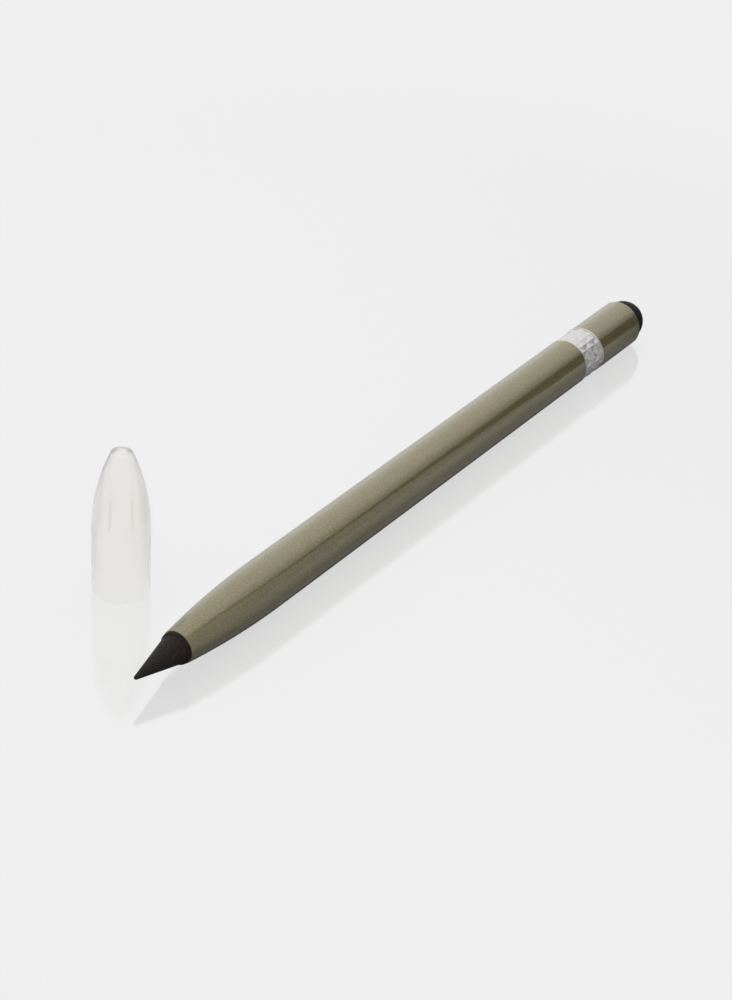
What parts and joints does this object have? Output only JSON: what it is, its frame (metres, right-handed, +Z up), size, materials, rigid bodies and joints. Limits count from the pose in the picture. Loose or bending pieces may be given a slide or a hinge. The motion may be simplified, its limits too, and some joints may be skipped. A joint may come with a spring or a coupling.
{
  "type": "inkless metal pencil",
  "caption": "Round metal pencil with a pointed graphite tip, drawn-in nose, faceted silver ring and domed eraser, its clear ribbed cap standing beside it.",
  "frame": {"origin": "middle of the footprint of pencil and cap together, on the surface that they lie and stand on", "axes": "+X along the pencil from the writing tip to the eraser, +Y from the pencil to the cap, +Z up"},
  "size_m": [0.1536, 0.031, 0.0265],
  "materials": {
    "graphite": "matt black graphite alloy with a faint sheen",
    "holder_black": "moulded black, matt",
    "bush_brass": "turned brass",
    "olive_aluminium": "satin metallic olive under a clear coat",
    "connector_plastic": "moulded dark grey",
    "ring_silver": "satin silver with flat facets",
    "eraser_rubber": "matt black eraser rubber",
    "cap_clear": "milky see-through moulded plastic"
  },
  "bodies": {
    "pencil": {"barrel": "olive_aluminium", "nose_bush": "bush_brass", "faceted_ring": "ring_silver", "connector": "connector_plastic", "tail_sleeve": "olive_aluminium"},
    "tip": {"graphite_tip": "graphite", "tip_holder": "holder_black"},
    "eraser_plug": {"eraser": "eraser_rubber"},
    "cap_shell": {"cap": "cap_clear"}
  },
  "joints": [
    {"name": "tip_unscrew", "type": "slide", "parent": "pencil", "child": "tip", "axis": [-1, 0, 0], "range_m": [0, 0.016]},
    {"name": "eraser_pull", "type": "slide", "parent": "pencil", "child": "eraser_plug", "axis": [1, 0, 0], "range_m": [0, 0.014]},
    {"name": "cap_lift", "type": "slide", "parent": "pencil", "child": "cap_shell", "axis": [0, 0, 1], "range_m": [0, 0.04]}
  ]
}
